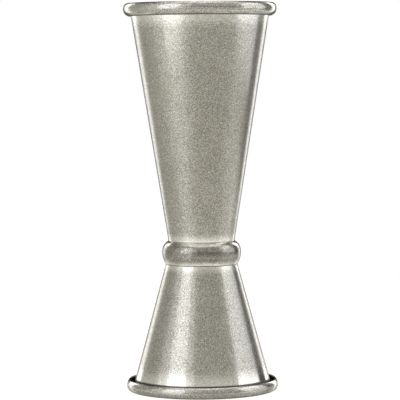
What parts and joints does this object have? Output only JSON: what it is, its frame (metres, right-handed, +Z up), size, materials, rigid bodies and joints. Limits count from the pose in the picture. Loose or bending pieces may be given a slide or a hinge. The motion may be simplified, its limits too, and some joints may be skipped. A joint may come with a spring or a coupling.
{
  "type": "cocktail jigger",
  "caption": "Double-ended bar jigger in tumbled steel: a tall conical cup and a short one joined bottom to bottom under a rounded waist collar, each mouth edged with a rolled rim.",
  "frame": {"origin": "centre of the circle on which the small cup's rim rests, so the jigger stands on Z = 0 as in the picture", "axes": "+Z up the common axis of both cups, towards the large cup's mouth; X and Y are free, because the part is round"},
  "size_m": [0.0482, 0.0482, 0.122],
  "materials": {
    "tumbled_steel": "stainless sheet tumbled to a warm grey satin with fine light and dark speckle",
    "collar_steel": "the same tumbled stainless, a little darker and more worn on its crown",
    "weld_steel": "remelted steel of the spot welds, hidden between the two bottoms"
  },
  "bodies": {
    "root": {"upper_cup": "tumbled_steel", "lower_cup": "tumbled_steel", "waist_collar": "collar_steel", "spot_welds": "weld_steel"}
  },
  "joints": []
}
